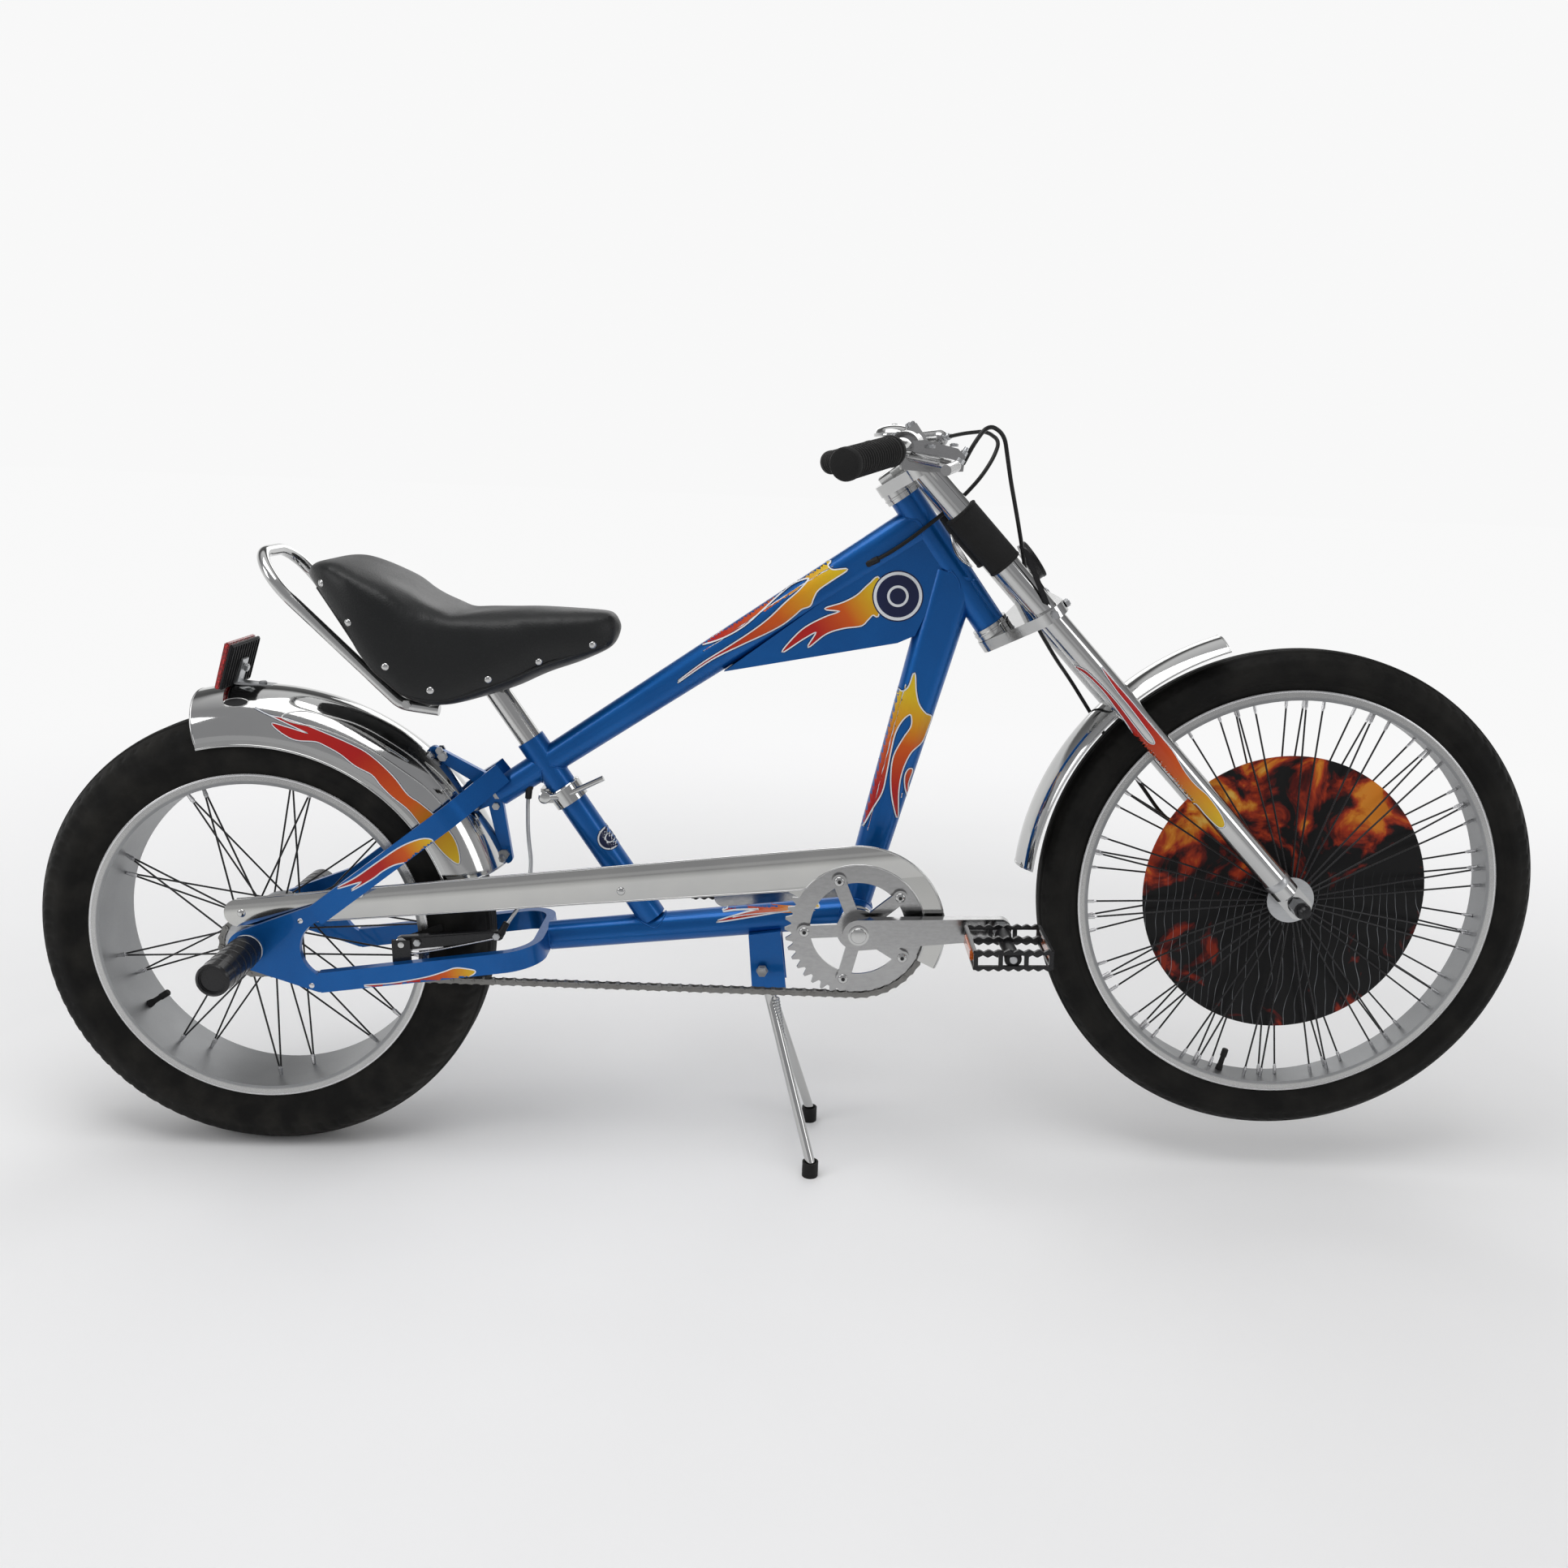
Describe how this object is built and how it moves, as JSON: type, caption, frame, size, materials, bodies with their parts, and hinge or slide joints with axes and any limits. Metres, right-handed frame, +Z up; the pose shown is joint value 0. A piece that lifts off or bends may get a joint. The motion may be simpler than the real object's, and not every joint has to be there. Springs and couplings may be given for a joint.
{
  "type": "chopper bicycle",
  "caption": "Long low chopper bicycle on a centre stand: raked double-clamp fork that steers, free wheels and pedals, padded seat, fenders and a folding twin-leg stand",
  "frame": {"origin": "on the floor, at the middle of the bounding box's length and width, with the bicycle parked on its stand", "axes": "X forward, Y to the rider's left, Z up"},
  "size_m": [1.8546, 0.6294, 0.9253],
  "materials": {
    "blue_paint": "metallic gloss",
    "chrome": "polished",
    "steel": "satin",
    "alloy": "satin",
    "black_paint": "gloss",
    "tyre": "matte",
    "rubber": "matte",
    "black_plastic": "matte",
    "vinyl": "satin vinyl",
    "red_lens": "gloss",
    "white_lens": "gloss",
    "card": "printed, gloss"
  },
  "bodies": {
    "frame": {"head_tube": "blue_paint", "headset": "chrome", "top_tube": "blue_paint", "gusset": "blue_paint", "down_tube": "blue_paint", "seat_tube": "blue_paint", "bottom_tube": "blue_paint", "bottom_bracket_shell": "blue_paint", "seat_stays": "blue_paint", "chain_stays": "blue_paint", "stay_bridge": "blue_paint", "dropouts": "blue_paint", "fender_bracket": "blue_paint", "stand_bracket": "blue_paint", "seat_clamp": "chrome", "seat_post": "chrome", "seat": "vinyl", "sissy_bar": "chrome", "rear_fender": "chrome", "rear_reflector": "red_lens", "chain_guard": "chrome", "chain": "steel", "rear_brake": "black_paint", "rear_brake_cable": "rubber", "rear_brake_wire": "rubber", "rear_axle": "steel", "pegs": "black_paint"},
    "rear_wheel": {"rear_tyre": "tyre", "rear_rim": "alloy", "rear_spokes": "black_paint", "rear_hub": "black_paint", "rear_cog": "steel"},
    "crank": {"chainring": "chrome", "crank_right": "chrome", "crank_left": "chrome", "crank_spindle": "steel"},
    "pedal_right_body": {"pedal_right": "black_plastic"},
    "pedal_left_body": {"pedal_left": "black_plastic"},
    "steering": {"upper_clamp": "chrome", "lower_clamp": "chrome", "fork_legs": "chrome", "bell": "chrome", "front_brake": "steel", "front_brake_cable": "rubber", "leg_sleeves": "rubber", "risers": "chrome", "handlebar": "chrome", "grips": "rubber", "brake_lever_right": "chrome", "brake_lever_left": "alloy", "front_fender": "chrome", "front_reflector": "white_lens", "front_axle": "steel"},
    "front_wheel": {"front_tyre": "tyre", "front_rim": "alloy", "front_spokes": "black_paint", "front_hub": "black_paint", "wheel_card": "card"},
    "stand": {"stand_legs": "steel", "stand_feet": "rubber"}
  },
  "joints": [
    {"name": "rear_wheel_spin", "type": "hinge", "parent": "frame", "child": "rear_wheel", "pos_m": [-0.64929, 0, 0.278], "axis": [0, 1, 0], "continuous": true},
    {"name": "crank_spin", "type": "hinge", "parent": "frame", "child": "crank", "pos_m": [0.08252, 0, 0.32481], "axis": [0, 1, 0], "continuous": true},
    {"name": "pedal_right_spin", "type": "hinge", "parent": "crank", "child": "pedal_right_body", "pos_m": [0.25199, -0.148, 0.3382], "axis": [0, 1, 0], "continuous": true},
    {"name": "pedal_left_spin", "type": "hinge", "parent": "crank", "child": "pedal_left_body", "pos_m": [-0.08695, 0.148, 0.31141], "axis": [0, 1, 0], "continuous": true},
    {"name": "steering_turn", "type": "hinge", "parent": "frame", "child": "steering", "pos_m": [0.11735, 0, 0.84135], "axis": [-0.5984, 0, 0.8012], "range_deg": [-40, 40], "deforming": ["rear_brake_cable"]},
    {"name": "front_wheel_spin", "type": "hinge", "parent": "steering", "child": "front_wheel", "pos_m": [0.61828, 0, 0.36931], "axis": [0, 1, 0], "continuous": true},
    {"name": "stand_fold", "type": "hinge", "parent": "frame", "child": "stand", "pos_m": [-0.03305, 0, 0.25369], "axis": [0, 1, 0], "range_deg": [0, 90]}
  ]
}
